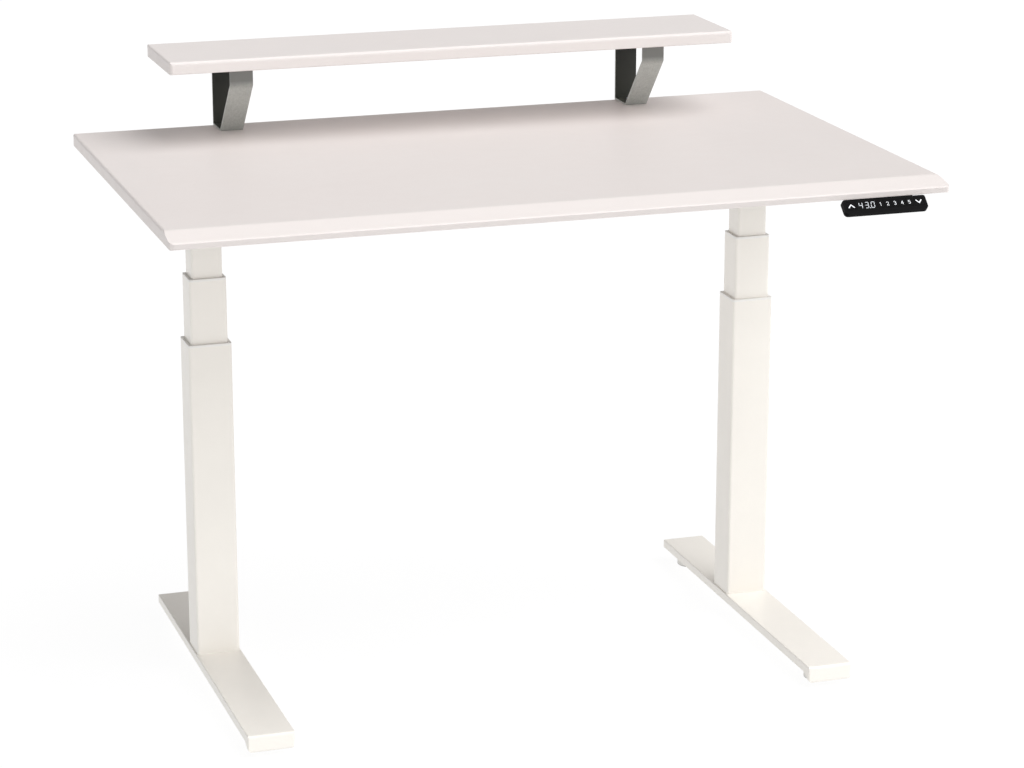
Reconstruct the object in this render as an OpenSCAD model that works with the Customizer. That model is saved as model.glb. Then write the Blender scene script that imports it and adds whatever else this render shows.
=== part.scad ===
// Height-adjustable standing desk with a monitor shelf.
// Two three-stage lifting columns carry a bevelled desktop; a spindle drive in each column moves it.
// Origin: floor, under the middle of the desk. +X is to the user's right, +Y away from the user, +Z up.

/* [Desktop] */
// Width of the desktop
desktop_w = 1219; // [1100:1:1500]
// Depth of the desktop
desktop_d = 762; // [720:1:820]
// Thickness of the board
desktop_t = 20; // [18:1:30]
// Height of the work surface in the modelled pose
desktop_top = 842; // [835:1:870]
// How far the front bevel reaches back
bevel_run = 45; // [20:1:70]
// How far the front bevel drops
bevel_drop = 10; // [4:1:12]

/* [Monitor shelf] */
// Width of the shelf
shelf_w = 963; // [800:1:1100]
// Depth of the shelf
shelf_d = 180; // [150:1:240]
// Thickness of the shelf
shelf_t = 20; // [16:1:25]
// Height of the shelf's top above the desktop
shelf_rise = 141; // [120:1:180]
// Distance of each bracket from the middle
strap_x = 355; // [250:1:400]
// Width of the bracket's steel strap
strap_w = 38; // [30:1:50]
// Thickness of the strap
strap_t = 3; // [2:0.5:4]
// Length of the bracket's foot on the desktop
strap_base = 56; // [50:1:80]
// Depth of the bracket at the shelf
strap_reach = 136; // [110:1:150]
// Length of the upright part under the shelf
strap_upright = 31; // [20:1:40]

/* [Columns] */
// Distance of each column from the middle
column_x = 462.5; // [440:0.5:480]
// How far the columns stand behind the middle of the desktop
column_back = 75; // [40:1:90]
// Width of the lower tube
lower_w = 70; // [70:1:80]
// Depth of the lower tube
lower_d = 64; // [64:1:72]
// Step in width and depth from one stage to the next
stage_step = 10; // [10:0.5:11]
// Wall of the tubes
wall = 2; // [1.5:0.25:2.5]
// Height of the lower tube's rim
lower_top = 559; // [555:1:565]
// Height of the middle tube's rim in the modelled pose
mid_top = 665; // [664:1:668]

/* [Feet] */
// Width of a foot
foot_w = 75; // [74:1:90]
// Length of a foot
foot_l = 663; // [600:1:720]
// Height of the foot's top above the floor
foot_top = 38; // [36:1:40]
// Height of the foot's side walls
foot_t = 14; // [12:0.5:16]
// Height of the turned-down nose at the foot's front end
nose_h = 28; // [22:0.5:30]
// How far the foot reaches in front of the desktop's middle
foot_front = 316; // [300:1:340]
// Distance of the front glide from the foot's front end
front_inset = 51; // [50:1:80]
// Distance of the rear glide from the foot's rear end
rear_inset = 37; // [34:1:80]
// Diameter of a levelling glide
glide_d = 45; // [35:1:50]

/* [Under-desk frame] */
// Depth of each crossbar
bar_d = 20; // [20:1:25]
// Height of each crossbar
bar_h = 40; // [36:1:44]
// Width of a side rail
rail_w = 50; // [40:1:55]
// Length of a side rail
rail_l = 570; // [500:1:600]
// Sheet thickness of a side rail
rail_t = 2.5; // [2:0.5:3]
// Width of the control box
box_w = 280; // [260:1:320]
// Depth of the control box
box_d = 100; // [80:1:120]
// Height of the control box
box_h = 32; // [30:1:36]

/* [Lift drive] */
// Radius of the solid inner spindle
inner_spindle_r = 6; // [5.5:0.5:6]
// Radius of the hollow outer spindle
outer_spindle_r = 9; // [9:0.5:9]
// Radial clearance of a running fit
running = 0.08; // [0.05:0.01:0.1]
// Diameter of a motor
motor_d = 44; // [38:1:44]
// Length of a motor
motor_l = 128; // [100:1:140]

/* [Handset] */
// Width of the handset
handset_w = 138; // [132:1:150]
// Length of its sloping face
handset_face = 25.5; // [24:0.1:27]
// Slope of the face from horizontal
handset_slope = 42; // [38:1:46]
// Where the handset hangs, to the right of the middle
handset_x = 497; // [450:1:520]
// Travel of a key
key_travel = 0.8; // [0.5:0.1:1]

/* [Hidden] */
$fn = 48;

LEFT = -1;
RIGHT = 1;
eps = 0.05;           // clearance between pieces that are fastened together
moving_gap = 0.35;    // clearance between pieces that slide past each other

// Handset face, which sets how far the desk reaches forward of its desktop
face_run = handset_face * cos(handset_slope);
face_fall = handset_face * sin(handset_slope);

// Main planes
middle_y = face_run / 2;                    // desktop's middle: the origin is under the middle of the whole desk
front_y = middle_y - desktop_d / 2;
rear_y = middle_y + desktop_d / 2;
under_z = desktop_top - desktop_t;
shelf_top = desktop_top + shelf_rise;
shelf_z = shelf_top - shelf_t;
column_y = middle_y + column_back;

// Column stages
mid_w = lower_w - stage_step;
mid_d = lower_d - stage_step;
upper_w = mid_w - stage_step;
upper_d = mid_d - stage_step + 1;
tube_r = 4;
rim_t = 3;
plate_t = 6;
tube_z = foot_top + plate_t;                // top of the plate that closes the lower tube
mid_z = 150;                                // middle tube's bottom edge
upper_z = 270;                              // upper tube's bottom edge
gearbox_z = under_z - 50;                   // underside of the gearbox
skirt = 40;                                 // length of a rim's guide skirt
slide_h = 50;                               // length of the slides at a tube's lower end

// Foot
foot_z = foot_top - foot_t;
foot_skin = 3;
foot_y0 = middle_y - foot_front;
foot_y1 = foot_y0 + foot_l;
nose_z = foot_top - nose_h;
glide_ys = [foot_y0 + front_inset, foot_y1 - rear_inset];
bolt_x = 22;
bolt_y = 22;
stud_r = 5;

// Drive
post_r = 12;
post_top = 376;
outer_nut_h = 24;
guide_r = 15;
guide_bore = 13;
guide_top = 520;
bearing_z = 503;
bearing_h = 12;
inner_nut_h = 25;
wheel_r = 18;
wheel_z = under_z - 32;
wheel_h = 12;
worm_r = 5;
worm_y = column_y - wheel_r - worm_r - moving_gap;
worm_z = wheel_z + wheel_h / 2;
spindle_end = under_z - 10;
spindle_start = upper_z + 5;

// Under-desk frame
frame_top = under_z - rail_t;
house_x0 = column_x - 34.5;
house_x1 = column_x + 34.5;
house_y0 = column_y - 47;
house_y1 = column_y + 37;
house_wall = 8;
cover_t = 2;
bar_z = frame_top - bar_h;
bar_x = house_x1 + 3;                       // end of the crossbars, where the side rails begin
rail_h = 40;
rail_y0 = middle_y - 260;
rail_taper = 160;
rail_tip = 12;
box_y0 = middle_y + 162;
box_z = under_z - box_h;
ear_t = 2.5;
ear_w = 18;

// Fasteners
wood_r = 1.9;
wood_l = 14;
m6_r = 3;
m8_r = 4;
rail_screw_y = [for (y = [-240, -70, 170, 285]) middle_y + y];
foot_screw_y = [rear_y - 38, rear_y - 18];
shelf_screw_x = 9;
shelf_flange = 25;

// Leads
lead_r = 2.5;
tight_r = 6;                                // bends round the bars and into the plugs
wide_r = 12;                                // bends in plan
lead_high = under_z - 5;                    // leads along the desktop's underside
lead_low = bar_z - 4.5;                     // leads under the crossbars
cross_y = middle_y - 160;                   // where the handset's lead crosses the desk
rear_bar_y = house_y1 + bar_d / 2;
motor_socket_x = 100;
handset_socket_x = 40;
socket_z = box_z + 12;
motor_end = house_x0 - motor_l;

// Handset
panel_t = 1.6;
panel_y = front_y - face_run / 2;
panel_z = under_z - 0.4 - face_fall / 2;
key_w = 10;
key_h = 14;
wide_key_w = 15;
key_rise = 1.5;
key_pitch = 12;
memory_x = -7.6;
arrow_x = 56.2;
window_w = 32;
window_x = -30;
tray_depth = 8;
body_w = 102;

// ---------- helpers ----------

// Points of an arc of radius r about [x, y]
function arc(x, y, r, a0, a1, n = 5) =
    [for (i = [0:n]) [x + r * cos(a0 + (a1 - a0) * i / n), y + r * sin(a0 + (a1 - a0) * i / n)]];

// Rectangle with its corners rounded, centred
module rrect(w, d, r) {
    square([w - 2 * r, d], center = true);
    square([w, d - 2 * r], center = true);
    for (x = [-1, 1], y = [-1, 1]) translate([x * (w / 2 - r), y * (d / 2 - r)]) circle(r);
}

// Extrudes a [y, z] outline along X, centred
module along_x(length) rotate([90, 0, 90]) linear_extrude(length, center = true) children();

// Extrudes an [x, z] outline along Y, centred
module along_y(length) rotate([90, 0, 0]) linear_extrude(length, center = true) children();

// Round bars parallel to X and Y
module rod_x(x0, x1, r) translate([x0, 0, 0]) rotate([0, 90, 0]) cylinder(h = x1 - x0, r = r);
module rod_y(y0, y1, r) translate([0, y0, 0]) rotate([-90, 0, 0]) cylinder(h = y1 - y0, r = r);

// Puts a piece at the left or the right column; pieces are drawn for the right one
module on_side(side) if (side < 0) mirror([1, 0, 0]) children(); else children();

// Origin on a column's axis, on the floor
module at_column(side) translate([side * column_x, column_y, 0]) children();

module at_both_columns() for (side = [LEFT, RIGHT]) at_column(side) children();

// Ring between two rounded rectangles
module ring(w_out, d_out, r_out, w_in, d_in, r_in, h) linear_extrude(h) difference() {
    rrect(w_out, d_out, r_out);
    rrect(w_in, d_in, r_in);
}

module tube(w, d, h) ring(w, d, tube_r, w - 2 * wall, d - 2 * wall, tube_r - wall, h);

module round_tube(r_out, r_in, h) difference() {
    cylinder(h = h, r = r_out);
    translate([0, 0, -1]) cylinder(h = h + 2, r = r_in);
}

// Board with softened edges: the plan, the end view and the side view cut each other
module board(w, d, t, corner_r, side_r) intersection() {
    linear_extrude(t) rrect(w, d, corner_r);
    translate([0, 0, t / 2]) along_y(d + 2) polygon(concat(
        arc(-w / 2 + 1, -t / 2 + 1, 1, 180, 270, 2), arc(w / 2 - 1, -t / 2 + 1, 1, 270, 360, 2),
        arc(w / 2 - side_r, t / 2 - side_r, side_r, 0, 90),
        arc(-w / 2 + side_r, t / 2 - side_r, side_r, 90, 180)));
    children();
}

// ---------- feet ----------

// Outside of the foot: the plan, the end view and the side view cut each other
module foot_shell() intersection() {
    translate([0, (foot_y0 + foot_y1) / 2, nose_z]) linear_extrude(nose_h) rrect(foot_w, foot_l, 3);
    translate([0, (foot_y0 + foot_y1) / 2, nose_z]) along_y(foot_l + 2) polygon(concat(
        arc(-foot_w / 2 + 9, 9, 9, 180, 270, 6), arc(foot_w / 2 - 9, 9, 9, 270, 360, 6),
        arc(foot_w / 2 - 2, nose_h - 2, 2, 0, 90, 4), arc(-foot_w / 2 + 2, nose_h - 2, 2, 90, 180, 4)));
    along_x(foot_w + 2) polygon(concat(
        arc(foot_y0 + 4, nose_z + 4, 4, 180, 270, 4), [[foot_y0 + 7, nose_z]],
        arc(foot_y0 + 7 + foot_z - nose_z, nose_z, foot_z - nose_z, 180, 90, 6),
        arc(foot_y1 - 3, foot_z + 3, 3, 270, 360, 3),
        arc(foot_y1 - 4, foot_top - 4, 4, 0, 90, 4), arc(foot_y0 + 4, foot_top - 4, 4, 90, 180, 4)));
}

// Pressed foot, open underneath, with a boss over each glide and two cross ribs by the column
module foot(side) color("white") translate([side * column_x, 0, 0]) difference() {
    foot_shell();
    difference() {
        translate([-foot_w / 2 + foot_skin, foot_y0 + 4, nose_z - 1])
            cube([foot_w - 2 * foot_skin, foot_l - 8, nose_h - foot_skin + 1]);
        for (y = glide_ys) translate([0, y, foot_z]) cylinder(h = foot_t, r = 11);
        for (y = [-45, 45]) translate([-foot_w / 2, column_y + y - 1.5, foot_z + 2]) cube([foot_w, 3, foot_t]);
    }
    for (y = glide_ys) translate([0, y, foot_z - 1]) cylinder(h = foot_t - 2, r = stud_r + running);
    for (x = [-bolt_x, bolt_x], y = [-bolt_y, bolt_y]) translate([x, column_y + y, foot_z])
        cylinder(h = foot_t + 1, r = m8_r + 0.3);
}

module foot_bolts() color("silver") at_both_columns()
    for (x = [-bolt_x, bolt_x], y = [-bolt_y, bolt_y]) translate([x, y, foot_top - foot_skin]) {
        cylinder(h = foot_skin + 5.5, r = m8_r);
        difference() {
            translate([0, 0, -4.5]) cylinder(h = 4.5, r = 6.5);
            translate([0, 0, -5.5]) cylinder(h = 3.5, r = 2.9, $fn = 6);
        }
    }

// Levelling glide: a moulded pad on a threaded stud
module glide(side, y) color("gainsboro") translate([side * column_x, y, 0]) {
    rotate_extrude() polygon(concat([[0, 0]], arc(glide_d / 2 - 2, 2, 2, 270, 360, 3),
        arc(glide_d / 2 - 3, 9.5, 2.5, 0, 90, 3), [[9, 13], [9, 13.5], [0, 13.5]]));
    translate([0, 0, 13]) cylinder(h = 4, r = 8.5, $fn = 6);
    translate([0, 0, 16]) cylinder(h = foot_top - 6 - 16, r = stud_r);
}

// ---------- lower stage ----------

// Outer tube, closed at the bottom by the plate that the foot is bolted to
module lower_tube(side) color("white") at_column(side) translate([0, 0, foot_top]) difference() {
    union() {
        tube(lower_w, lower_d, lower_top - rim_t - foot_top);
        linear_extrude(plate_t) rrect(lower_w, lower_d, tube_r);
    }
    for (x = [-bolt_x, bolt_x], y = [-bolt_y, bolt_y]) translate([x, y, -1])
        cylinder(h = plate_t + 2, r = m8_r + eps);
}

// Moulded rim on a tube's top edge, with a skirt that guides the next tube inside it
module rim(w, d, next_w, next_d) {
    hole_w = next_w + 2 * moving_gap;
    hole_d = next_d + 2 * moving_gap;
    translate([0, 0, -rim_t]) ring(w, d, tube_r, hole_w, hole_d, tube_r, rim_t);
    translate([0, 0, -rim_t - skirt])
        ring(w - 2 * wall - 2 * eps, d - 2 * wall - 2 * eps, tube_r - wall, hole_w, hole_d, tube_r, skirt + 0.5);
}

module lower_collars() color("whitesmoke") at_both_columns()
    translate([0, 0, lower_top]) rim(lower_w, lower_d, mid_w, mid_d);

// Post on the base plate that holds the outer spindle's nut
module nut_posts() color("silver") at_both_columns() translate([0, 0, tube_z]) {
    round_tube(guide_r, post_r - 2, 3);
    translate([0, 0, 2.5]) round_tube(post_r, post_r - 2, post_top - tube_z - 2.5);
}

module outer_nuts() color("ivory") at_both_columns() translate([0, 0, post_top])
    round_tube(post_r, outer_spindle_r + running, outer_nut_h);

// ---------- middle stage ----------

module mid_tube(side) color("white") at_column(side)
    translate([0, 0, mid_z]) tube(mid_w, mid_d, mid_top - rim_t - mid_z);

// Rim at the top and sliding pads at the bottom of the middle tube
module mid_slides(side) color("whitesmoke") at_column(side) {
    translate([0, 0, mid_top]) rim(mid_w, mid_d, upper_w, upper_d);
    translate([0, 0, mid_z]) slide_pads(mid_w, mid_d, lower_w, lower_d);
}

// Sliding pads round the lower end of a tube, clear of the tube they run in
module slide_pads(w, d, outer_w, outer_d) ring(
    outer_w - 2 * wall - 2 * moving_gap, outer_d - 2 * wall - 2 * moving_gap, tube_r - wall,
    w + 2 * eps, d + 2 * eps, tube_r, slide_h);

// Bottom plate with the tube that carries the spindle bearing and the inner nut
module mid_guide(side) color("silver") at_column(side) translate([0, 0, mid_z]) difference() {
    union() {
        linear_extrude(plate_t) rrect(mid_w - 2 * wall - 2 * eps, mid_d - 2 * wall - 2 * eps, tube_r - wall);
        cylinder(h = guide_top - mid_z, r = guide_r);
    }
    translate([0, 0, -1]) cylinder(h = guide_top - mid_z + 2, r = guide_bore);
}

module spindle_bearing(side) color("lightgray") at_column(side) translate([0, 0, bearing_z])
    round_tube(guide_bore - eps, outer_spindle_r + running, bearing_h);

module inner_nut(side) color("ivory") at_column(side) translate([0, 0, guide_top]) difference() {
    union() {
        cylinder(h = 4, r = guide_r);
        cylinder(h = inner_nut_h, r = guide_bore - 1);
    }
    translate([0, 0, -1]) cylinder(h = inner_nut_h + 2, r = inner_spindle_r + running);
}

// Hollow spindle: turned by a key that slides in the inner spindle's groove
module outer_spindle(side) color("silver") at_column(side) {
    bore = inner_spindle_r + 0.4;
    translate([0, 0, mid_z + 2]) round_tube(outer_spindle_r, bore, guide_top - 0.4 - mid_z - 2);
    translate([0, 0, bearing_z + bearing_h + 0.3]) round_tube(guide_bore - 1, bore, 4.2);
    translate([inner_spindle_r - 0.8, -0.8, bearing_z]) cube([1.6, 1.6, bearing_h]);
}

module inner_spindle(side) color("silver") at_column(side) difference() {
    translate([0, 0, spindle_start]) cylinder(h = spindle_end - spindle_start, r = inner_spindle_r);
    translate([inner_spindle_r - 1.3, -1.2, spindle_start - 1]) cube([3, 2.4, gearbox_z - spindle_start]);
}

// ---------- upper stage and drive ----------

module upper_tube(side) color("white") at_column(side)
    translate([0, 0, upper_z]) tube(upper_w, upper_d, gearbox_z + 12 - upper_z);

module upper_slides() color("whitesmoke") at_both_columns() translate([0, 0, upper_z])
    slide_pads(upper_w, upper_d, mid_w, mid_d);

module worm_wheel(side) color("peru") at_column(side) translate([0, 0, wheel_z])
    round_tube(wheel_r, inner_spindle_r + 0.02, wheel_h);

module worm_shaft(side) color("silver") on_side(side) translate([0, worm_y, worm_z]) {
    rod_x(house_x0 - 8, house_x1 - 4, 4);
    rod_x(column_x - 17, column_x + 17, worm_r);
}

// Cast housing that holds the upper tube, the worm wheel and the worm, closed by a screwed cover
module gearbox(side) color("dimgray") on_side(side) {
    difference() {
        translate([house_x0, house_y0, gearbox_z])
            cube([house_x1 - house_x0, house_y1 - house_y0, frame_top - cover_t - gearbox_z]);
        translate([house_x0 + 6, house_y0 + house_wall, gearbox_z + 16])
            cube([house_x1 - house_x0 - 12, house_y1 - house_y0 - 2 * house_wall, 40]);
        translate([column_x, column_y, gearbox_z - 1])
            linear_extrude(13) rrect(upper_w + 2 * eps, upper_d + 2 * eps, tube_r);
        translate([column_x, column_y, gearbox_z]) cylinder(h = 20, r = inner_spindle_r + running);
        translate([0, worm_y, worm_z]) rod_x(house_x0 - 1, house_x1 - 3, 4 + running);
        for (x = [-22.5, 22.5]) translate([column_x + x, 0, frame_top - 15]) {
            rod_y(house_y0 - 1, house_y0 + 5.5, m6_r + eps);
            rod_y(house_y1 - 5.5, house_y1 + 1, m6_r + eps);
        }
    }
    translate([house_x0, house_y0, frame_top - cover_t]) cube([house_x1 - house_x0, house_y1 - house_y0, cover_t]);
    translate([column_x, column_y, spindle_end - 6]) difference() {
        cylinder(h = frame_top - cover_t - spindle_end + 6 + 0.5, r = 10);
        translate([0, 0, -1]) cylinder(h = 8, r = inner_spindle_r + running);
    }
}

// Geared motor: stepped can with ribs, an end cap and a lead outlet
module motor(side) color("black") on_side(side) translate([0, worm_y, worm_z]) difference() {
    union() {
        rod_x(motor_end + 8, house_x0, motor_d / 2 - 3);
        rod_x(motor_end + 12, house_x0 - 16, motor_d / 2);
        rod_x(motor_end, motor_end + 9, motor_d / 2 - 7);
        for (i = [0:3]) rod_x(house_x0 - 6 - 2.6 * i, house_x0 - 4.6 - 2.6 * i, motor_d / 2 - 1);
    }
    rod_x(house_x0 - 9, house_x0 + 1, 4.4);
}

// ---------- under-desk frame ----------

// Channel that opens downwards and tapers towards the front
module side_rail(side) color("dimgray") on_side(side) difference() {
    intersection() {
        translate([bar_x, rail_y0, under_z - rail_h]) difference() {
            cube([rail_w, rail_l, rail_h]);
            translate([rail_t, -1, -1]) cube([rail_w - 2 * rail_t, rail_l + 2, rail_h + 1 - rail_t]);
        }
        translate([bar_x + rail_w / 2, 0, 0]) along_x(rail_w + 2) polygon([
            [rail_y0, under_z - rail_tip], [rail_y0 + rail_taper, under_z - rail_h],
            [rail_y0 + rail_l - 80, under_z - rail_h], [rail_y0 + rail_l, under_z - rail_tip],
            [rail_y0 + rail_l, under_z], [rail_y0, under_z]]);
    }
    for (y = rail_screw_y) translate([bar_x + rail_w / 2, y, under_z - 5]) cylinder(h = 10, r = wood_r + 0.3);
    for (y = [house_y0 - bar_d / 2, house_y1 + bar_d / 2]) translate([0, y, bar_z + 12])
        rod_x(bar_x - 1, bar_x + 5, m6_r + 0.2);
}

module crossbars() color("dimgray") for (y = [house_y0 - bar_d / 2, house_y1 + bar_d / 2])
    translate([0, y, bar_z]) difference() {
        translate([-bar_x, -bar_d / 2, 0]) cube([2 * bar_x, bar_d, bar_h]);
        translate([-bar_x + 5, -bar_d / 2 + 2, 2]) cube([2 * bar_x - 10, bar_d - 4, bar_h - 4]);
        for (side = [LEFT, RIGHT]) {
            translate([side * (bar_x - 3), 0, 12]) rod_x(-4, 4, m6_r + eps);
            for (x = [-22.5, 22.5]) translate([side * column_x + x, 0, bar_h - 15])
                rod_y(-bar_d, bar_d, m6_r + 0.2);
        }
        for (x = [-150, 150]) translate([x, 0, -1]) cylinder(h = 4, r = m6_r);
    }

// Socket-head screw along +Y, with its head before y = 0
module m6_screw(length) {
    rod_y(0, length, m6_r);
    difference() {
        rod_y(-3.5, 0, 5);
        translate([0, -4.5, 0]) rotate([-90, 0, 0]) cylinder(h = 3, r = 2.3, $fn = 6);
    }
}

module frame_bolts() color("silver") for (side = [LEFT, RIGHT]) {
    for (x = [-22.5, 22.5]) translate([side * column_x + x, 0, frame_top - 15]) {
        translate([0, house_y0 - bar_d, 0]) m6_screw(bar_d + 5);
        translate([0, house_y1 + bar_d, 0]) mirror([0, 1, 0]) m6_screw(bar_d + 5);
    }
    for (y = [house_y0 - bar_d / 2, house_y1 + bar_d / 2])
        translate([side * (bar_x + rail_t), y, bar_z + 12]) rotate([0, 0, side * 90]) m6_screw(14);
}

// ---------- desktop ----------

// Side view of the desktop, with the long bevel along the user's edge
module desktop_side_view() {
    slope = atan(bevel_drop / bevel_run);
    half = desktop_d / 2;
    blend_r = 45;
    nose_r = 3;
    nose_l = nose_r * tan((90 - slope) / 2);
    polygon(concat(
        arc(-half + 1.5, 1.5, 1.5, 180, 270, 2), arc(half - 1.5, 1.5, 1.5, 270, 360, 2),
        arc(half - 4, desktop_t - 4, 4, 0, 90),
        arc(-half + bevel_run + blend_r * tan(slope / 2), desktop_t - blend_r, blend_r, 90, 90 + slope, 3),
        arc(-half + nose_r, desktop_t - bevel_drop - nose_l, nose_r, 90 + slope, 180, 4)));
}

module pilot_up(x, y) translate([x, y, under_z - 1]) cylinder(h = 13.2, r = wood_r + eps);

module desktop() color("white") difference() {
    translate([0, middle_y, under_z]) board(desktop_w, desktop_d, desktop_t, 7, 4)
        along_x(desktop_w + 2) desktop_side_view();
    for (side = [LEFT, RIGHT]) {
        for (y = rail_screw_y) pilot_up(side * (bar_x + rail_w / 2), y);
        pilot_up(side * (box_w + ear_w) / 2, box_y0 + box_d / 2);
        pilot_up(handset_x + side * 30, front_y + 53);
        for (y = foot_screw_y) translate([side * strap_x, y, desktop_top - 12.2])
            cylinder(h = 13, r = wood_r + eps);
    }
}

// Pan-head screw along +Z, with its head below z = 0
module wood_screw() {
    cylinder(h = wood_l, r = wood_r);
    difference() {
        translate([0, 0, -2.2]) cylinder(h = 2.2, r = 4);
        for (a = [0, 90]) rotate([0, 0, a]) translate([-2.2, -0.4, -3]) cube([4.4, 0.8, 1.8]);
    }
}

module wood_screws() color("silver") for (side = [LEFT, RIGHT]) {
    for (y = rail_screw_y) translate([side * (bar_x + rail_w / 2), y, under_z - rail_t]) wood_screw();
    translate([side * (box_w + ear_w) / 2, box_y0 + box_d / 2, under_z - ear_t]) wood_screw();
    translate([handset_x + side * 30, front_y + 53, under_z - ear_t]) wood_screw();
    for (y = foot_screw_y) translate([side * strap_x, y, desktop_top + strap_t]) mirror([0, 0, 1]) wood_screw();
    for (x = [-shelf_screw_x, shelf_screw_x], y = [rear_y - 16, rear_y - strap_reach + 16])
        translate([side * strap_x + x, y, shelf_z - strap_t]) wood_screw();
}

// ---------- electrics ----------

module control_box() color("black") difference() {
    union() {
        translate([0, box_y0 + box_d / 2, box_z]) linear_extrude(box_h) rrect(box_w, box_d, 6);
        translate([0, box_y0 + box_d / 2, under_z - ear_t]) linear_extrude(ear_t) rrect(box_w + 2 * ear_w, 30, 5);
        translate([-box_w / 2 + 10, box_y0 + 12, box_z - 1]) for (i = [0:8])
            translate([i * 30, 0, 0]) cube([3, box_d - 24, 2]);
    }
    for (side = [LEFT, RIGHT]) translate([side * (box_w + ear_w) / 2, box_y0 + box_d / 2, under_z - 5])
        cylinder(h = 10, r = wood_r + 0.3);
    for (x = [-motor_socket_x, handset_socket_x, motor_socket_x]) translate([x, 0, socket_z])
        rod_y(box_y0 - 1, box_y0 + 8, 6.2);
    translate([95, box_y0 + box_d, box_z + box_h / 2]) difference() {
        translate([-12.5, -17, -8.5]) cube([25, 18, 17]);
        for (x = [-7, 0, 7]) translate([x - 1, -18, x == 0 ? 1 : -4]) cube([2, 13, 4]);
    }
}

// Straight run of lead along Z; what follows it continues from its far end
module straight(length) {
    cylinder(h = length, r = lead_r);
    translate([0, 0, length]) children();
}

// Quarter turn of radius r from +Z towards the given angle round Z; what follows continues from its end
module bend(towards, r) rotate([0, 0, towards]) {
    translate([r, 0, 0]) rotate([90, 0, 0]) rotate([0, 0, 90]) rotate_extrude(angle = 90)
        translate([r, 0]) circle(lead_r);
    translate([r, 0, r]) rotate([0, 90, 0]) rotate([0, 0, -towards]) children();
}

// Plug at a lead's end, in one of the control box's sockets
module plug() cylinder(h = 15, r = 6);

module motor_lead() translate([motor_end, worm_y, worm_z]) rotate([0, -90, 0])
    straight(8) bend(180, tight_r)
    straight(worm_z - lead_low - 2 * tight_r) bend(90, tight_r)
    straight(rear_bar_y - wide_r - worm_y - tight_r) bend(0, wide_r)
    straight(motor_end - 8 - tight_r - 2 * wide_r - motor_socket_x) bend(180, wide_r)
    straight(box_y0 - 8 - 2 * tight_r - rear_bar_y - wide_r) bend(90, tight_r)
    straight(socket_z - lead_low - 2 * tight_r) bend(-90, tight_r) plug();

module handset_lead() translate([handset_x, front_y + 41, lead_high]) rotate([-90, 0, 0])
    straight(cross_y - wide_r - front_y - 41) bend(180, wide_r)
    straight(handset_x - handset_socket_x - 2 * wide_r) bend(0, wide_r)
    straight(house_y0 - bar_d - 10 - cross_y - wide_r) bend(90, tight_r)
    straight(lead_high - lead_low - 2 * tight_r) bend(-90, tight_r)
    straight(box_y0 + 2 - 4 * tight_r - house_y0 + bar_d) bend(-90, tight_r)
    straight(socket_z - lead_low - 2 * tight_r) bend(90, tight_r) plug();

module leads() color("black") {
    for (side = [LEFT, RIGHT]) on_side(side) motor_lead();
    handset_lead();
}

// Saddle round a lead that runs along Y, reaching up by rise
module clip(rise) difference() {
    union() {
        rod_y(-4, 4, lead_r + 1.5);
        translate([-3.5, -4, 0]) cube([7, 8, rise]);
        translate([-9, -4, rise - 1.5]) cube([18, 8, 1.5]);
    }
    rod_y(-5, 5, lead_r + 0.1);
}

module lead_clips() color("dimgray") {
    high_rise = under_z - lead_high;
    low_rise = bar_z - lead_low;
    translate([handset_x, middle_y - 290, lead_high]) clip(high_rise);
    translate([handset_socket_x, middle_y - 60, lead_high]) clip(high_rise);
    for (x = [130, 270, 410]) translate([x, cross_y, lead_high]) rotate([0, 0, 90]) clip(high_rise);
    for (x = [-200, 200]) translate([x, rear_bar_y, lead_low]) rotate([0, 0, 90]) clip(low_rise);
    for (y = [house_y0 - bar_d / 2, rear_bar_y]) translate([handset_socket_x, y, lead_low]) clip(low_rise);
}

// ---------- handset ----------

// Frame of the sloping face: X to the right, Y up the slope, Z out of the face
module on_face() translate([handset_x, panel_y, panel_z]) rotate([handset_slope, 0, 0]) children();

// Outline of the face: tighter corners at the top than at the bottom
module face_outline() polygon(concat(
    arc(-handset_w / 2 + 6, -handset_face / 2 + 6, 6, 180, 270),
    arc(handset_w / 2 - 6, -handset_face / 2 + 6, 6, 270, 360),
    arc(handset_w / 2 - 3.5, handset_face / 2 - 3.5, 3.5, 0, 90),
    arc(-handset_w / 2 + 3.5, handset_face / 2 - 3.5, 3.5, 90, 180)));

// A point behind the face, from its distance up the slope and out of the face
function behind(up, out) =
    [up * cos(handset_slope) - out * sin(handset_slope), up * sin(handset_slope) + out * cos(handset_slope)];

// Shallow tray behind the face, and a narrower body that reaches back under the desktop
module handset_housing() color("black") difference() {
    top = under_z - 0.2 - panel_z;
    half = handset_face / 2;
    union() {
        on_face() translate([0, 0, -tray_depth]) linear_extrude(tray_depth - panel_t) face_outline();
        translate([handset_x, panel_y, panel_z]) along_x(body_w) polygon([behind(half - 3, -4),
            [14, top], [50, top], [50, 4], [33, -4], [-2, -10.5], behind(-half + 3, -4)]);
        translate([handset_x, front_y + 50, under_z - ear_t]) linear_extrude(ear_t - 0.1) rrect(78, 20, 4);
    }
    on_face() translate([0, 0, 1.8 - tray_depth]) linear_extrude(tray_depth) rrect(handset_w - 5, handset_face - 5, 3);
    translate([handset_x, panel_y, panel_z]) along_x(body_w - 5) polygon([
        behind(half - 6, -5), [16.5, 6], [47.5, 6], [32.5, -1.8], [-1.2, -8]]);
    for (side = [LEFT, RIGHT]) translate([handset_x + side * 30, front_y + 53, under_z - 5])
        cylinder(h = 10, r = wood_r + 0.3);
    translate([handset_x, 0, lead_high]) rod_y(front_y + 33, front_y + 45, lead_r + 0.3);
}

module key_outline(w, grow = 0) translate([0, key_rise]) rrect(w + 2 * grow, key_h + 2 * grow, 1.5);

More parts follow.
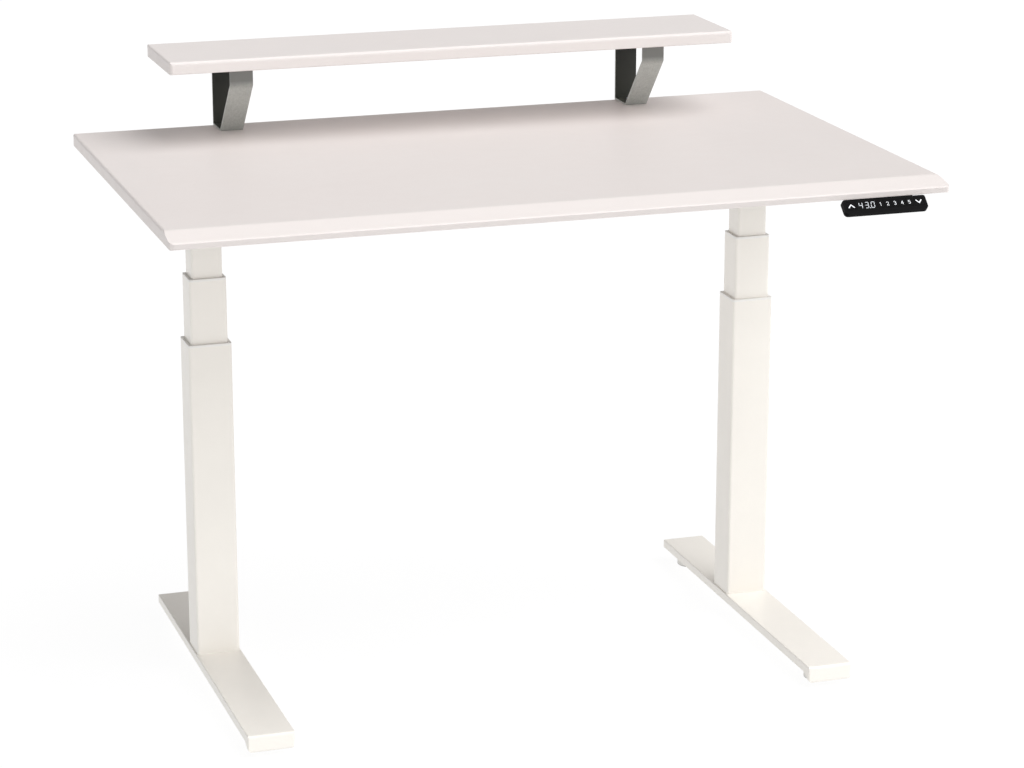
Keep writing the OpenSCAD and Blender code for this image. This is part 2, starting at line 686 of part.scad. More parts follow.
module handset_fascia() color("black") on_face() translate([0, 0, -panel_t]) linear_extrude(panel_t)
    difference() {
        face_outline();
        for (i = [0:4]) translate([memory_x + key_pitch * i, 0]) key_outline(key_w, moving_gap);
        for (side = [LEFT, RIGHT]) translate([side * arrow_x, 0]) key_outline(wide_key_w, moving_gap);
        translate([window_x, key_rise]) square([window_w + 0.2, key_h + 0.2], center = true);
    }

// Circuit board with a display block behind the window and a switch behind each key
module handset_board() color("darkgreen") on_face() {
    translate([-62, -6, -5.6]) cube([124, 15.5, 1.4]);
    translate([window_x - window_w / 2, key_rise - key_h / 2, -4.2]) cube([window_w, key_h, 3.8]);
    for (x = concat([-arrow_x, arrow_x], [for (i = [0:4]) memory_x + key_pitch * i]))
        translate([x - 2.5, key_rise - 2.5, -4.2]) cube([5, 5, 0.8]);
}

module key(x, w) color("black") on_face() translate([x, 0, -panel_t]) {
    linear_extrude(panel_t) key_outline(w);
    translate([0, key_rise, -0.6]) cylinder(h = 0.8, r = 1.8);
}

// ---------- monitor shelf ----------

module shelf() color("white") difference() {
    translate([0, rear_y - shelf_d / 2, shelf_z]) board(shelf_w, shelf_d, shelf_t, 6, 3)
        along_x(shelf_w + 2) polygon(concat(
            arc(-shelf_d / 2 + 1.5, 1.5, 1.5, 180, 270, 2), arc(shelf_d / 2 - 1.5, 1.5, 1.5, 270, 360, 2),
            arc(shelf_d / 2 - 3, shelf_t - 3, 3, 0, 90), arc(-shelf_d / 2 + 5, shelf_t - 5, 5, 90, 180)));
    for (side = [LEFT, RIGHT], x = [-shelf_screw_x, shelf_screw_x], y = [rear_y - 16, rear_y - strap_reach + 16])
        translate([side * strap_x + x, y, shelf_z - 1]) cylinder(h = 12.2, r = wood_r + eps);
}

// One stretch of strap from a to b, round at both ends
module strap_piece(a, b) {
    v = b - a;
    translate(a) rotate(atan2(v[1], v[0])) translate([0, -strap_t / 2]) square([norm(v), strap_t]);
    for (p = [a, b]) translate(p) circle(d = strap_t);
}

module shelf_bracket(side) color("darkgray") translate([side * strap_x, 0, 0]) difference() {
    half = strap_t / 2;
    back = rear_y - half;
    front = rear_y - strap_reach + half;
    low = desktop_top + half;
    high = shelf_z - half;
    path = [[back - shelf_flange, high], [back, high], [back, low], [rear_y - strap_base + half, low],
        [front, shelf_z - strap_upright], [front, high], [front + shelf_flange, high]];
    along_x(strap_w) for (i = [1:len(path) - 1]) strap_piece(path[i - 1], path[i]);
    for (y = foot_screw_y) translate([0, y, desktop_top - 1]) cylinder(h = 8, r = wood_r + 0.3);
    for (x = [-shelf_screw_x, shelf_screw_x], y = [rear_y - 16, rear_y - strap_reach + 16])
        translate([x, y, shelf_z - 6]) cylinder(h = 8, r = wood_r + 0.3);
}

// ---------- assembly ----------

foot(LEFT);  // left_foot
foot(RIGHT);  // right_foot
lower_tube(LEFT);  // left_lower_tube
lower_tube(RIGHT);  // right_lower_tube
lower_collars();
nut_posts();
outer_nuts();
foot_bolts();
glide(LEFT, glide_ys[0]);  // glide_front_left
glide(RIGHT, glide_ys[0]);  // glide_front_right
glide(LEFT, glide_ys[1]);  // glide_rear_left
glide(RIGHT, glide_ys[1]);  // glide_rear_right
mid_tube(LEFT);  // left_mid_tube
mid_slides(LEFT);  // left_mid_slides
mid_guide(LEFT);  // left_mid_guide
spindle_bearing(LEFT);  // left_spindle_bearing
inner_nut(LEFT);  // left_inner_nut
mid_tube(RIGHT);  // right_mid_tube
mid_slides(RIGHT);  // right_mid_slides
mid_guide(RIGHT);  // right_mid_guide
spindle_bearing(RIGHT);  // right_spindle_bearing
inner_nut(RIGHT);  // right_inner_nut
outer_spindle(LEFT);  // left_outer_spindle
outer_spindle(RIGHT);  // right_outer_spindle
inner_spindle(LEFT);  // left_inner_spindle
inner_spindle(RIGHT);  // right_inner_spindle
worm_wheel(LEFT);  // left_worm_wheel
worm_wheel(RIGHT);  // right_worm_wheel
worm_shaft(LEFT);  // left_worm_shaft
worm_shaft(RIGHT);  // right_worm_shaft
upper_tube(LEFT);  // left_upper_tube
upper_tube(RIGHT);  // right_upper_tube
upper_slides();
gearbox(LEFT);  // left_gearbox
gearbox(RIGHT);  // right_gearbox
motor(LEFT);  // left_motor
motor(RIGHT);  // right_motor
side_rail(LEFT);  // left_side_rail
side_rail(RIGHT);  // right_side_rail
crossbars();
frame_bolts();
desktop();
wood_screws();
control_box();
leads();
lead_clips();
handset_housing();
handset_fascia();
handset_board();
key(-arrow_x, wide_key_w);  // key_up
key(arrow_x, wide_key_w);  // key_down
key(memory_x, key_w);  // key_1
key(memory_x + key_pitch, key_w);  // key_2
key(memory_x + 2 * key_pitch, key_w);  // key_3
key(memory_x + 3 * key_pitch, key_w);  // key_4
key(memory_x + 4 * key_pitch, key_w);  // key_5
shelf();
shelf_bracket(LEFT);  // left_shelf_bracket
shelf_bracket(RIGHT);  // right_shelf_bracket
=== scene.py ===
"""Looks of a height-adjustable standing desk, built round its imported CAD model."""
import math

import bpy
import bmesh
from mathutils import Matrix, Vector


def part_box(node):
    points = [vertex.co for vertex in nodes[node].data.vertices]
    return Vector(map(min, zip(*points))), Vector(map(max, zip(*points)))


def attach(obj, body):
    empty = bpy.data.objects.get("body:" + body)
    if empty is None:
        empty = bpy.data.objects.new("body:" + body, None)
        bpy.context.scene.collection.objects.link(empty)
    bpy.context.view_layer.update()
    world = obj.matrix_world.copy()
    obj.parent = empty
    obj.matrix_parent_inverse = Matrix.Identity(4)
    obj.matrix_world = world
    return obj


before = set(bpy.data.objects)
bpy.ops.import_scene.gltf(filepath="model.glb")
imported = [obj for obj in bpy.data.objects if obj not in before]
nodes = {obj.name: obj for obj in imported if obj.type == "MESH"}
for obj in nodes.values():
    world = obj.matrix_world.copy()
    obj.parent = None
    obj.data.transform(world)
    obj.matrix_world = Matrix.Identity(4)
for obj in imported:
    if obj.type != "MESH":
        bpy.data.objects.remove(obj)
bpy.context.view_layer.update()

# ---------------------------------------------------------------- material nodes


class Graph:
    """One material's node tree, ending in a Principled shader."""

    def __init__(self, name):
        self.material = bpy.data.materials.new(name)
        self.material.use_nodes = True
        self.tree = self.material.node_tree
        self.shader = self.tree.nodes["Principled BSDF"]
        self.place = self.node("ShaderNodeTexCoord").outputs["Object"]

    def node(self, kind, **settings):
        made = self.tree.nodes.new(kind)
        for key, value in settings.items():
            setattr(made, key, value)
        return made

    def put(self, socket, value):
        """Links a socket, or sets it where the value is a number or a colour."""
        if isinstance(value, bpy.types.NodeSocket):
            self.tree.links.new(value, socket)
        else:
            socket.default_value = value

    def math(self, operation, *values):
        made = self.node("ShaderNodeMath", operation=operation)
        for socket, value in zip(made.inputs, values):
            self.put(socket, value)
        return made.outputs[0]

    def xyz(self, vector=None):
        made = self.node("ShaderNodeSeparateXYZ")
        self.put(made.inputs[0], vector or self.place)
        return made.outputs

    def noise(self, scale, detail=3.0, rough=0.5, stretch=(1, 1, 1)):
        spot = self.place
        if stretch != (1, 1, 1):
            mapping = self.node("ShaderNodeMapping")
            self.put(mapping.inputs["Vector"], spot)
            mapping.inputs["Scale"].default_value = stretch
            spot = mapping.outputs[0]
        made = self.node("ShaderNodeTexNoise")
        self.put(made.inputs["Vector"], spot)
        made.inputs["Scale"].default_value = scale
        made.inputs["Detail"].default_value = detail
        made.inputs["Roughness"].default_value = rough
        return made.outputs["Fac"]

    def cells(self, scale):
        made = self.node("ShaderNodeTexVoronoi")
        self.put(made.inputs["Vector"], self.place)
        made.inputs["Scale"].default_value = scale
        return made.outputs["Distance"]

    def between(self, value, low, high, out_low=0.0, out_high=1.0):
        """Maps low..high to out_low..out_high, held at both ends."""
        made = self.node("ShaderNodeMapRange")
        for socket, number in zip(made.inputs, (value, low, high, out_low, out_high)):
            self.put(socket, number)
        return made.outputs[0]

    def mix(self, fac, first, second):
        made = self.node("ShaderNodeMix", data_type="RGBA")
        self.put(made.inputs["Factor"], fac)
        self.put(made.inputs["A"], (*first, 1) if isinstance(first, tuple) else first)
        self.put(made.inputs["B"], (*second, 1) if isinstance(second, tuple) else second)
        return made.outputs["Result"]

    def bump(self, height, distance, strength=1.0, after=None):
        made = self.node("ShaderNodeBump")
        made.inputs["Strength"].default_value = strength
        made.inputs["Distance"].default_value = distance
        self.put(made.inputs["Height"], height)
        if after is not None:
            self.put(made.inputs["Normal"], after)
        return made.outputs[0]

    def edge_mask(self, radius):
        """1 on edges and 0 on flats: how far a softened normal leaves the true one."""
        soft = self.node("ShaderNodeBevel", samples=4)
        soft.inputs["Radius"].default_value = radius
        true = self.node("ShaderNodeNewGeometry").outputs["True Normal"]
        dot = self.node("ShaderNodeVectorMath", operation="DOT_PRODUCT")
        self.put(dot.inputs[0], soft.outputs[0])
        self.put(dot.inputs[1], true)
        return self.between(dot.outputs["Value"], 0.985, 0.80)

    def finish(self, color, roughness, normal=None, **fixed):
        """Sets the shader; fixed names sockets that are the same all over the surface."""
        self.put(self.shader.inputs["Base Color"], (*color, 1) if isinstance(color, tuple) else color)
        self.put(self.shader.inputs["Roughness"], roughness)
        if normal is not None:
            self.put(self.shader.inputs["Normal"], normal)
        for name, value in fixed.items():
            self.shader.inputs[name.replace("_", " ")].default_value = value
        return self.material


def shade(color, factor):
    return tuple(channel * factor for channel in color)


# ---------------------------------------------------------------- materials


def powder_coat(name, color, thin_coat_and_highlight_color, scale=900, gloss=0.36):
    """Sprayed and baked powder: orange peel, faint clouding, paler edges (thin coat and painted highlight)."""
    g = Graph(name)
    clouds = g.between(g.noise(9, 4, 0.6), 0.35, 0.65)
    specks = g.between(g.noise(1700, 2), 0.62, 0.72)
    tone = g.mix(clouds, color, shade(color, 0.975))
    tone = g.mix(g.math("MULTIPLY", specks, 0.25), tone, shade(color, 0.88))
    # Paler colour along the edges: partly the thinner coat there, partly a painted highlight
    tone = g.mix(g.edge_mask(0.0012), tone, thin_coat_and_highlight_color)
    peel = g.bump(g.noise(scale, 2, 0.45), 0.00012, 0.5)
    peel = g.bump(g.noise(scale / 5, 2, 0.5), 0.00035, 0.35, after=peel)
    roughness = g.between(g.noise(60, 4, 0.6), 0.3, 0.7, gloss - 0.05, gloss + 0.07)
    return g.finish(tone, roughness, peel, Coat_Weight=0.12, Coat_Roughness=0.2)


def thermofoil(name, color, front_shade_gain=1.0):
    """Matt foil over fibreboard: leathery grain, warm clouds, painted highlight on the sloping edge and painted
    shade on the front face.
    """
    g = Graph(name)
    clouds = g.between(g.noise(3.5, 5, 0.55), 0.3, 0.7)
    mottle = g.between(g.noise(160, 3, 0.6), 0.35, 0.65)
    tone = g.mix(clouds, color, (color[0] * 0.988, color[1] * 0.98, color[2] * 0.978))
    tone = g.mix(g.math("MULTIPLY", mottle, 0.35), tone, shade(color, 0.982))
    normal = g.xyz(g.node("ShaderNodeNewGeometry").outputs["True Normal"])
    # Painted highlight: faces of the sloping edge made paler than the flat top
    slope_highlight = g.math("MULTIPLY", g.between(normal[1], -0.08, -0.14), g.between(normal[2], 0.80, 0.90))
    tone = g.mix(slope_highlight, tone, shade(color, 1.06))
    # Painted shade: faces looking to the user made darker by the given gain (0.86 on the desktop, 1.0 leaves the
    # shelf as is)
    front = g.between(normal[1], -0.90, -0.98)
    tone = g.mix(front, tone, shade(color, front_shade_gain))
    grain = g.bump(g.cells(1500), 0.00008, 0.35)
    grain = g.bump(g.noise(420, 3, 0.6), 0.0001, 0.3, after=grain)
    wave = g.bump(g.noise(16, 2), 0.0008, 0.12, after=grain)
    roughness = g.between(g.noise(28, 5, 0.65), 0.3, 0.7, 0.40, 0.50)
    return g.finish(tone, roughness, wave, Specular_IOR_Level=0.42)


def moulded(name, color, roughness=0.45, grain_scale=1400, grain=0.00008, variation=0.06, **fixed):
    """Moulded plastic: spark-eroded grain and slight flow marks."""
    g = Graph(name)
    flow = g.between(g.noise(24, 4, 0.6, stretch=(1, 1, 2.5)), 0.3, 0.7)
    tone = g.mix(flow, color, shade(color, 1 - variation))
    surface = g.bump(g.cells(grain_scale), grain, 0.5)
    surface = g.bump(g.noise(grain_scale / 4, 3), grain, 0.4, after=surface)
    rough = g.between(g.noise(90, 3), 0.3, 0.7, roughness - 0.05, roughness + 0.06)
    return g.finish(tone, rough, surface, **fixed)


def plated(name, color, roughness=0.3, stretch=(1, 1, 1)):
    """Zinc plate: bright, with faint bluish and straw-coloured patches and rolling marks."""
    g = Graph(name)
    patches = g.between(g.noise(70, 4, 0.6), 0.35, 0.65)
    tone = g.mix(patches, color, (color[0] * 0.94, color[1] * 0.96, color[2] * 1.03))
    straw = g.between(g.noise(33, 3), 0.55, 0.75)
    tone = g.mix(g.math("MULTIPLY", straw, 0.4), tone, (color[0], color[1] * 0.97, color[2] * 0.86))
    marks = g.bump(g.noise(500, 3, 0.6, stretch=stretch), 0.00006, 0.6)
    rough = g.between(g.noise(150, 4), 0.3, 0.7, roughness - 0.07, roughness + 0.1)
    return g.finish(tone, rough, marks, Metallic=1.0)


def threaded_steel(name, centre_x, centre_y, lead=0.008, starts=4):
    """Rolled trapezoidal thread: ridges wound round the spindle's own axis, with grease between them."""
    g = Graph(name)
    x, y, z = g.xyz()
    angle = g.math("ARCTAN2", g.math("SUBTRACT", y, centre_y), g.math("SUBTRACT", x, centre_x))
    turns = g.math("SUBTRACT", g.math("DIVIDE", z, lead), g.math("DIVIDE", angle, 2 * math.pi))
    ridge = g.math("SINE", g.math("MULTIPLY", turns, 2 * math.pi * starts))
    ridge = g.between(ridge, -0.35, 0.35)
    grease = g.between(g.noise(120, 4), 0.4, 0.6, 0.5, 1.0)
    valley = g.math("MULTIPLY", g.math("SUBTRACT", 1.0, ridge), grease)
    tone = g.mix(valley, (0.66, 0.67, 0.69), (0.30, 0.27, 0.20))
    surface = g.bump(ridge, 0.0005, 1.0)
    surface = g.bump(g.noise(900, 3), 0.00004, 0.5, after=surface)
    rough = g.between(ridge, 0, 1, 0.42, 0.2)
    return g.finish(tone, rough, surface, Metallic=1.0)


def glide_material(name, foot_colour):
    """Pale moulded pad with a darker sole and parting line, on a zinc-plated hexagon and stud."""
    g = Graph(name)
    z = g.xyz()[2]
    metal = g.between(z, 0.01285, 0.01295)
    sole = g.between(z, 0.0026, 0.0022)
    seam = g.between(g.math("ABSOLUTE", g.math("SUBTRACT", z, 0.0096)), 0.00025, 0.00012)
    flow = g.between(g.noise(60, 3), 0.3, 0.7)
    tone = g.mix(flow, foot_colour, shade(foot_colour, 0.95))
    tone = g.mix(g.math("MULTIPLY", seam, 0.5), tone, shade(foot_colour, 0.55))
    tone = g.mix(sole, tone, shade(foot_colour, 0.62))
    tone = g.mix(metal, tone, (0.70, 0.71, 0.73))
    surface = g.bump(g.cells(1300), 0.00008, 0.5)
    surface = g.bump(g.math("MULTIPLY", seam, -1.0), 0.0002, 0.8, after=surface)
    g.put(g.shader.inputs["Metallic"], metal)
    return g.finish(tone, g.between(metal, 0, 1, 0.5, 0.3), surface)


def strap_material(name, rear_y, top_z, shelf_z):
    """Bent steel strap: satin metallic lacquer outside, with painted shade within the bend and under the shelf.
    """
    g = Graph(name)
    normal = g.xyz(g.node("ShaderNodeNewGeometry").outputs["True Normal"])
    x, y, z = g.xyz()
    faces_user = g.between(normal[1], -0.3, -0.5)
    faces_away = g.between(normal[1], 0.3, 0.5)
    at_back = g.between(y, rear_y - 0.008, rear_y - 0.005)
    upward = g.between(normal[2], 0.6, 0.8)
    downward = g.between(normal[2], -0.75, -0.9)
    # Faces that get painted shade: those turned into the bend, and those facing up or down
    shaded_faces = g.math("ADD", g.math("MULTIPLY", faces_user, at_back),
                    g.math("MULTIPLY", faces_away, g.math("SUBTRACT", 1.0, at_back)))
    shaded_faces = g.math("MAXIMUM", shaded_faces, g.math("MAXIMUM", upward, downward))
    sparkle = g.between(g.cells(1100), 0.15, 0.6)
    brushed = g.noise(260, 4, 0.7, stretch=(1, 1, 0.15))
    mottled = g.math("ADD", g.math("MULTIPLY", brushed, 0.7), g.math("MULTIPLY", sparkle, 0.3))
    mottled = g.between(mottled, 0.25, 0.75)
    outer = g.mix(mottled, (0.37, 0.385, 0.36), (0.56, 0.575, 0.55))
    # Painted shadow of the shelf: outer faces darker just below the shelf
    shelf_shadow = g.between(z, shelf_z - 0.038, shelf_z - 0.024)
    outer = g.mix(shelf_shadow, outer, (0.22, 0.225, 0.215))
    # Painted shade in the bend: near black up by the shelf, dark grey down at the desktop
    shade_depth = g.between(z, top_z, shelf_z)
    inner_shade = g.mix(shade_depth, (0.075, 0.080, 0.068), (0.005, 0.005, 0.005))
    tone = g.mix(shaded_faces, outer, inner_shade)
    surface = g.bump(g.cells(1100), 0.00009, 0.6)
    rough = g.between(mottled, 0, 1, 0.52, 0.40)
    # The faces with painted shade are not metallic
    g.put(g.shader.inputs["Metallic"], g.between(shaded_faces, 0, 1, 0.10, 0.0))
    return g.finish(tone, rough, surface, Specular_IOR_Level=0.35)


def circuit_material(name):
    """Green solder mask with paler tracks and tinned pads."""
    g = Graph(name)
    wave = g.node("ShaderNodeTexWave", bands_direction="X")
    g.put(wave.inputs["Vector"], g.place)
    wave.inputs["Scale"].default_value = 130
    wave.inputs["Distortion"].default_value = 6
    tracks = g.between(wave.outputs["Fac"], 0.72, 0.8)
    pads = g.between(g.cells(260), 0.16, 0.12)
    tone = g.mix(tracks, (0.012, 0.10, 0.04), (0.03, 0.2, 0.08))
    tone = g.mix(pads, tone, (0.6, 0.6, 0.58))
    return g.finish(tone, g.between(pads, 0, 1, 0.3, 0.2), g.bump(tracks, 0.00003, 0.6))


def printed(name, color, glow):
    """Printed and lit symbols on the handset's film: the display's segments are lit, the printed key symbols'
    glow is painted light.
    """
    g = Graph(name)
    ink = g.between(g.noise(2500, 2), 0.3, 0.7)
    tone = g.mix(ink, color, shade(color, 0.92))
    g.put(g.shader.inputs["Emission Color"], tone)
    return g.finish(tone, 0.5, Emission_Strength=glow)


def floor_material():
    """Mostly self-lit white, so that the object throws hardly any shadow on it."""
    g = Graph("floor_white")
    cloud = g.between(g.noise(2, 3), 0.3, 0.7)
    tone = g.mix(cloud, (0.10, 0.10, 0.10), (0.095, 0.095, 0.096))
    return g.finish(tone, 0.9, Emission_Color=(1, 1, 1, 1), Emission_Strength=0.93,
                    Specular_IOR_Level=0.0)


# ---------------------------------------------------------------- materials on the CAD nodes

_, desk_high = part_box("desktop")
shelf_low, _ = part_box("shelf")

WARM_WHITE = (0.925, 0.890, 0.830)
# Each powder's second colour is its paler edge colour: thin coat and painted highlight
white_powder = powder_coat("white_powder", WARM_WHITE, (0.95, 0.94, 0.92))
dark_powder = powder_coat("frame_black", (0.055, 0.056, 0.06), (0.11, 0.11, 0.115), gloss=0.42)
motor_enamel = powder_coat("motor_black", (0.014, 0.014, 0.015), (0.04, 0.04, 0.042), scale=1300, gloss=0.3)
# The 0.86 is painted shade on the desktop's front face
board_white = thermofoil("white_board", (0.80, 0.745, 0.722), 0.86)
shelf_white = thermofoil("white_shelf", (0.805, 0.755, 0.735), 1.0)
guide_white = moulded("white_guide", (0.90, 0.885, 0.85), 0.4)
zinc = plated("zinc", (0.70, 0.71, 0.73))
turned_steel = plated("turned_steel", (0.62, 0.63, 0.65), 0.24, stretch=(1, 1, 12))
bronze = plated("bronze", (0.72, 0.47, 0.22), 0.28, stretch=(1, 1, 9))
acetal = moulded("nut_plastic", (0.86, 0.80, 0.64), 0.35, Subsurface_Weight=0.08)
box_black = moulded("box_black", (0.018, 0.018, 0.02), 0.46, 900, 0.00015, 0.2)
clip_grey = moulded("clip_grey", (0.055, 0.055, 0.06), 0.45, 1200)
lead_black = moulded("lead_black", (0.012, 0.012, 0.013), 0.5, 2200, 0.00004, 0.2)
shell_black = moulded("handset_shell", (0.0035, 0.0035, 0.0039), 0.42, 1500, 0.0001, 0.2,
                      Specular_IOR_Level=0.03)
face_black = moulded("handset_face", (0.0032, 0.0032, 0.0036), 0.3, 2600, 0.00002, 0.15,
                     Specular_IOR_Level=0.03)
circuit = circuit_material("circuit")
pads = glide_material("pad_grey", (0.80, 0.79, 0.76))
strap = strap_material("strap_metal", desk_high[1], desk_high[2], shelf_low[2])


def spindle_material(node):
    low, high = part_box(node)
    return threaded_steel(node + "_steel", (low[0] + high[0]) / 2, (low[1] + high[1]) / 2)


BY_NODE = {
    "foot_bolts": zinc, "frame_bolts": zinc, "wood_screws": zinc, "nut_posts": turned_steel,
    "left_mid_guide": turned_steel, "right_mid_guide": turned_steel,
    "left_spindle_bearing": turned_steel, "right_spindle_bearing": turned_steel,
    "left_worm_shaft": turned_steel, "right_worm_shaft": turned_steel,
    "left_worm_wheel": bronze, "right_worm_wheel": bronze,
    "outer_nuts": acetal, "left_inner_nut": acetal, "right_inner_nut": acetal,
    "lower_collars": guide_white, "left_mid_slides": guide_white, "right_mid_slides": guide_white,
    "upper_slides": guide_white, "left_gearbox": dark_powder, "right_gearbox": dark_powder,
    "left_side_rail": dark_powder, "right_side_rail": dark_powder, "crossbars": dark_powder,
    "left_motor": motor_enamel, "right_motor": motor_enamel, "desktop": board_white, "shelf": shelf_white,
    "control_box": box_black, "leads": lead_black, "lead_clips": clip_grey,
    "handset_housing": shell_black, "handset_fascia": face_black, "handset_board": circuit,
    "left_shelf_bracket": strap, "right_shelf_bracket": strap,
}
for name, obj in nodes.items():
    if name in BY_NODE:
        chosen = BY_NODE[name]
    elif name.startswith("key_"):
        chosen = face_black
    elif name.startswith("glide_"):
        chosen = pads
    elif name.endswith("_spindle"):
        chosen = spindle_material(name)
    else:
        chosen = white_powder
    obj.data.materials.clear()
    obj.data.materials.append(chosen)

# ---------------------------------------------------------------- handset symbols

SLOPE = math.radians(42)          # the handset's face leans back this far from horizontal
FILM = 0.00004                    # the symbols stand this far off the face
face_low, face_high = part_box("handset_fascia")
up_slope = Vector((0, math.cos(SLOPE), math.sin(SLOPE)))
outward = Vector((0, -math.sin(SLOPE), math.cos(SLOPE)))
face_middle = Vector(((face_low[0] + face_high[0]) / 2, (face_low[1] + face_high[1]) / 2,
                      (face_low[2] + face_high[2]) / 2)) + outward * 0.0008
to_face = Matrix((
    (1, 0, 0, face_middle.x),
    (0, up_slope.y, outward.y, face_middle.y),
    (0, up_slope.z, outward.z, face_middle.z),
    (0, 0, 0, 1)))

# The key symbols' glow is painted light; the display's glow is its lit segments
symbol_white = printed("symbol_white", (0.80, 0.82, 0.84), 0.35)
display_white = printed("display_white", (0.60, 0.63, 0.66), 0.5)


def flat_piece(name, outlines, material, body, height=FILM):
    """Thin raised shapes on the handset's face, from outlines in metres on the face."""
    mesh = bpy.data.meshes.new(name)
    bm = bmesh.new()
    for outline in outlines:
        lower = [bm.verts.new((x, y, 0.00001)) for x, y in outline]
        upper = [bm.verts.new((x, y, height)) for x, y in outline]
        bm.faces.new(lower[::-1])
        bm.faces.new(upper)
        for i, vert in enumerate(lower):
            j = (i + 1) % len(lower)
            bm.faces.new((vert, lower[j], upper[j], upper[i]))
    bm.transform(to_face)
    bm.normal_update()
    bm.to_mesh(mesh)
    bm.free()
    obj = bpy.data.objects.new(name, mesh)
    bpy.context.scene.collection.objects.link(obj)
    mesh.materials.append(material)
    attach(obj, body)
    return obj


def stroke(points, width):
    """Outlines of the straight strokes through the points, each a bar with square ends."""
    bars = []
    for (x0, y0), (x1, y1) in zip(points, points[1:]):
        along = Vector((x1 - x0, y1 - y0)).normalized() * width / 2
        side = Vector((-along.y, along.x))
        a = Vector((x0, y0)) - along * 0.6
        b = Vector((x1, y1)) + along * 0.6
        bars.append([tuple(a - side), tuple(b - side), tuple(b + side), tuple(a + side)])
    return bars


# Strokes of the printed numbers, on a box one unit tall and centred on its middle
NUMERALS = {
    "1": [[(-0.16, 0.34), (0.04, 0.5), (0.04, -0.5)]],
    "2": [[(-0.26, 0.3), (-0.14, 0.46), (0.12, 0.48), (0.26, 0.32), (0.22, 0.06), (-0.28, -0.46),
           (0.3, -0.46)]],
    "3": [[(-0.26, 0.36), (-0.08, 0.48), (0.16, 0.46), (0.25, 0.28), (0.16, 0.06), (-0.06, 0.02)],
          [(-0.06, 0.02), (0.2, -0.04), (0.28, -0.26), (0.16, -0.45), (-0.08, -0.48), (-0.28, -0.34)]],
    "4": [[(0.14, -0.5), (0.14, 0.48), (-0.3, -0.2), (0.32, -0.2)]],
    "5": [[(0.26, 0.46), (-0.2, 0.46), (-0.25, 0.06), (0.06, 0.12), (0.26, -0.06), (0.24, -0.32),
           (0.06, -0.48), (-0.26, -0.4)]],
}
CHEVRON = [[(-0.5, -0.3), (0, 0.3), (0.5, -0.3)]]
NUMBER_SIZE = 0.0062
SYMBOL_Y = 0.0015


def symbol(name, strokes, x, size, body, width=0.0011):
    outlines = []
    for line in strokes:
        outlines += stroke([(x + px * size, SYMBOL_Y + py * size) for px, py in line], width)
    flat_piece(name, outlines, symbol_white, body)


def key_x(key):
    low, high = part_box(key)
    return (low[0] + high[0]) / 2 - face_middle.x


for digit, strokes in NUMERALS.items():
    symbol("number_" + digit, strokes, key_x("key_" + digit), NUMBER_SIZE, "key_" + digit, 0.0007)
symbol("arrow_up", CHEVRON, key_x("key_up"), 0.0088, "key_up", 0.0017)
symbol("arrow_down", [[(px, -py) for px, py in line] for line in CHEVRON], key_x("key_down"), 0.0088,
       "key_down", 0.0017)

# Seven-segment display: which segments are lit for each digit, in the order top, upper right,
# lower right, bottom, lower left, upper left, middle
LIT = {"4": "0110011", "3": "1111001", "0": "1111110"}
DIGIT_W = 0.0052
DIGIT_H = 0.0104
SEGMENT = 0.0009


def segment(x0, y0, x1, y1):
    """One segment: a bar with pointed ends."""
    a, b = Vector((x0, y0)), Vector((x1, y1))
    along = (b - a).normalized() * SEGMENT / 2
    side = Vector((-along.y, along.x))
    a, b = a + along * 0.35, b - along * 0.35
    return [tuple(a), tuple(a + along - side), tuple(b - along - side), tuple(b), tuple(b - along + side),
            tuple(a + along + side)]


def digit(value, x):
    w, h = DIGIT_W / 2, DIGIT_H / 2
    ends = [(-w, h, w, h), (w, h, w, 0), (w, 0, w, -h), (-w, -h, w, -h), (-w, 0, -w, -h), (-w, h, -w, 0),
            (-w, 0, w, 0)]
    lean = 0.12
    shapes = [segment(*e) for e, on in zip(ends, LIT[value]) if on == "1"]
    return [[(x + px + lean * py, SYMBOL_Y + py) for px, py in shape] for shape in shapes]


half_w = (face_high[0] - face_low[0]) / 2
reading = digit("4", 0.0284 - half_w) + digit("3", 0.0386 - half_w) + digit("0", 0.0486 - half_w)
point_x = 0.0432 - half_w
point_y = SYMBOL_Y - DIGIT_H / 2
reading.append([(point_x - 0.0007, point_y - 0.0007), (point_x + 0.0007, point_y - 0.0007),
                (point_x + 0.0007, point_y + 0.0007), (point_x - 0.0007, point_y + 0.0007)])
flat_piece("display_digits", reading, display_white, "top")


def smoked_window():
    """Dark film over the display, so that only the lit segments show."""
    w, h, r = 0.0159, 0.0069, 0.0008
    x = -0.030
    corners = [(x + w - r, h - r, 0), (x - w + r, h - r, 90), (x - w + r, -h + r, 180), (x + w - r, -h + r, 270)]
    outline = []
    for cx, cy, start in corners:
        for step in range(4):
            turn = math.radians(start + step * 30)
            outline.append((cx + r * math.cos(turn), SYMBOL_Y + cy + r * math.sin(turn)))
    flat_piece("display_window", [outline], face_black, "top", 0.00002)


smoked_window()

# ---------------------------------------------------------------- studio

floor_mesh = bpy.data.meshes.new("floor")
bm = bmesh.new()
bmesh.ops.create_grid(bm, x_segments=12, y_segments=12, size=90)
bm.to_mesh(floor_mesh)
bm.free()
floor = bpy.data.objects.new("floor", floor_mesh)
floor.data.materials.append(floor_material())
bpy.context.scene.collection.objects.link(floor)

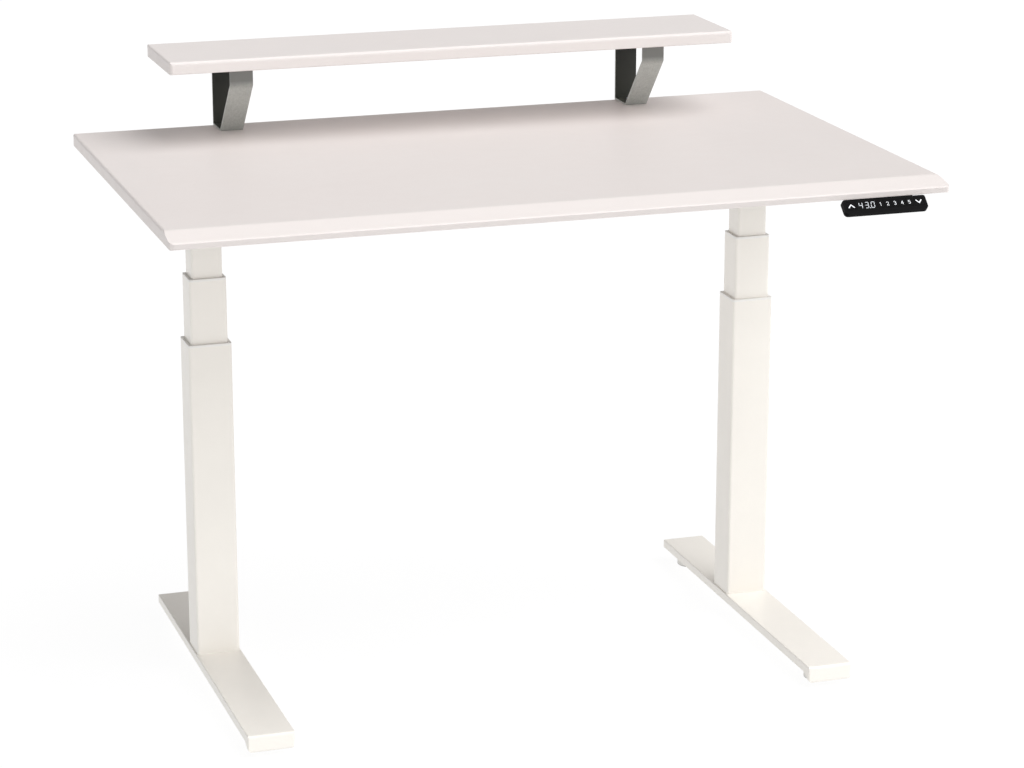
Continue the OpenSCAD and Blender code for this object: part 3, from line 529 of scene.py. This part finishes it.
scene = bpy.context.scene
world = bpy.data.worlds.new("studio")
world.use_nodes = True
world.node_tree.nodes["Background"].inputs["Color"].default_value = (0.99, 0.995, 1.0, 1)
sky = world.node_tree
height = sky.nodes.new("ShaderNodeSeparateXYZ")
sky.links.new(sky.nodes.new("ShaderNodeTexCoord").outputs["Generated"], height.inputs[0])
fade = sky.nodes.new("ShaderNodeMapRange")
# White up to HORIZON_LOW, the sine of the height above the horizon, then down to the studio's own level
HORIZON_LOW = 0.02
HORIZON_HIGH = 0.14
SKY_LEVEL = 0.36
for socket, number in zip(fade.inputs, (0, HORIZON_LOW, HORIZON_HIGH, 1.0, SKY_LEVEL)):
    socket.default_value = number
sky.links.new(height.outputs["Z"], fade.inputs["Value"])
sky.links.new(fade.outputs[0], sky.nodes["Background"].inputs["Strength"])
scene.world = world
scene.view_settings.view_transform = "Standard"
scene.view_settings.look = "None"


def sun(name, strength, azimuth, elevation, softness, color=(1, 1, 1)):
    """Soft directional light, from its azimuth: 0 is the user's side and 90 the right."""
    lamp = bpy.data.lights.new(name, "SUN")
    lamp.energy = strength
    lamp.angle = math.radians(softness)
    lamp.color = color
    obj = bpy.data.objects.new(name, lamp)
    scene.collection.objects.link(obj)
    a, e = math.radians(azimuth), math.radians(elevation)
    source = Vector((math.sin(a) * math.cos(e), -math.cos(a) * math.cos(e), math.sin(e)))
    obj.rotation_euler = (-source).to_track_quat("-Z", "Y").to_euler()


sun("key", 2.6, 50, 56, 60)
sun("front_fill", 0.32, 8, 14, 40)

CAMERA_AT = Vector((-1.4735, -4.6059, 1.8823))
YAW = math.radians(17.992)        # towards the user's right
PITCH = math.radians(-16.314)
camera_data = bpy.data.cameras.new("camera")
camera_data.sensor_width = 36
camera_data.lens = 109.38
camera_data.clip_end = 100
camera = bpy.data.objects.new("camera", camera_data)
camera.location = CAMERA_AT
looking = Vector((math.sin(YAW) * math.cos(PITCH), math.cos(YAW) * math.cos(PITCH), math.sin(PITCH)))
camera.rotation_euler = looking.to_track_quat("-Z", "Y").to_euler()
scene.collection.objects.link(camera)
scene.camera = camera
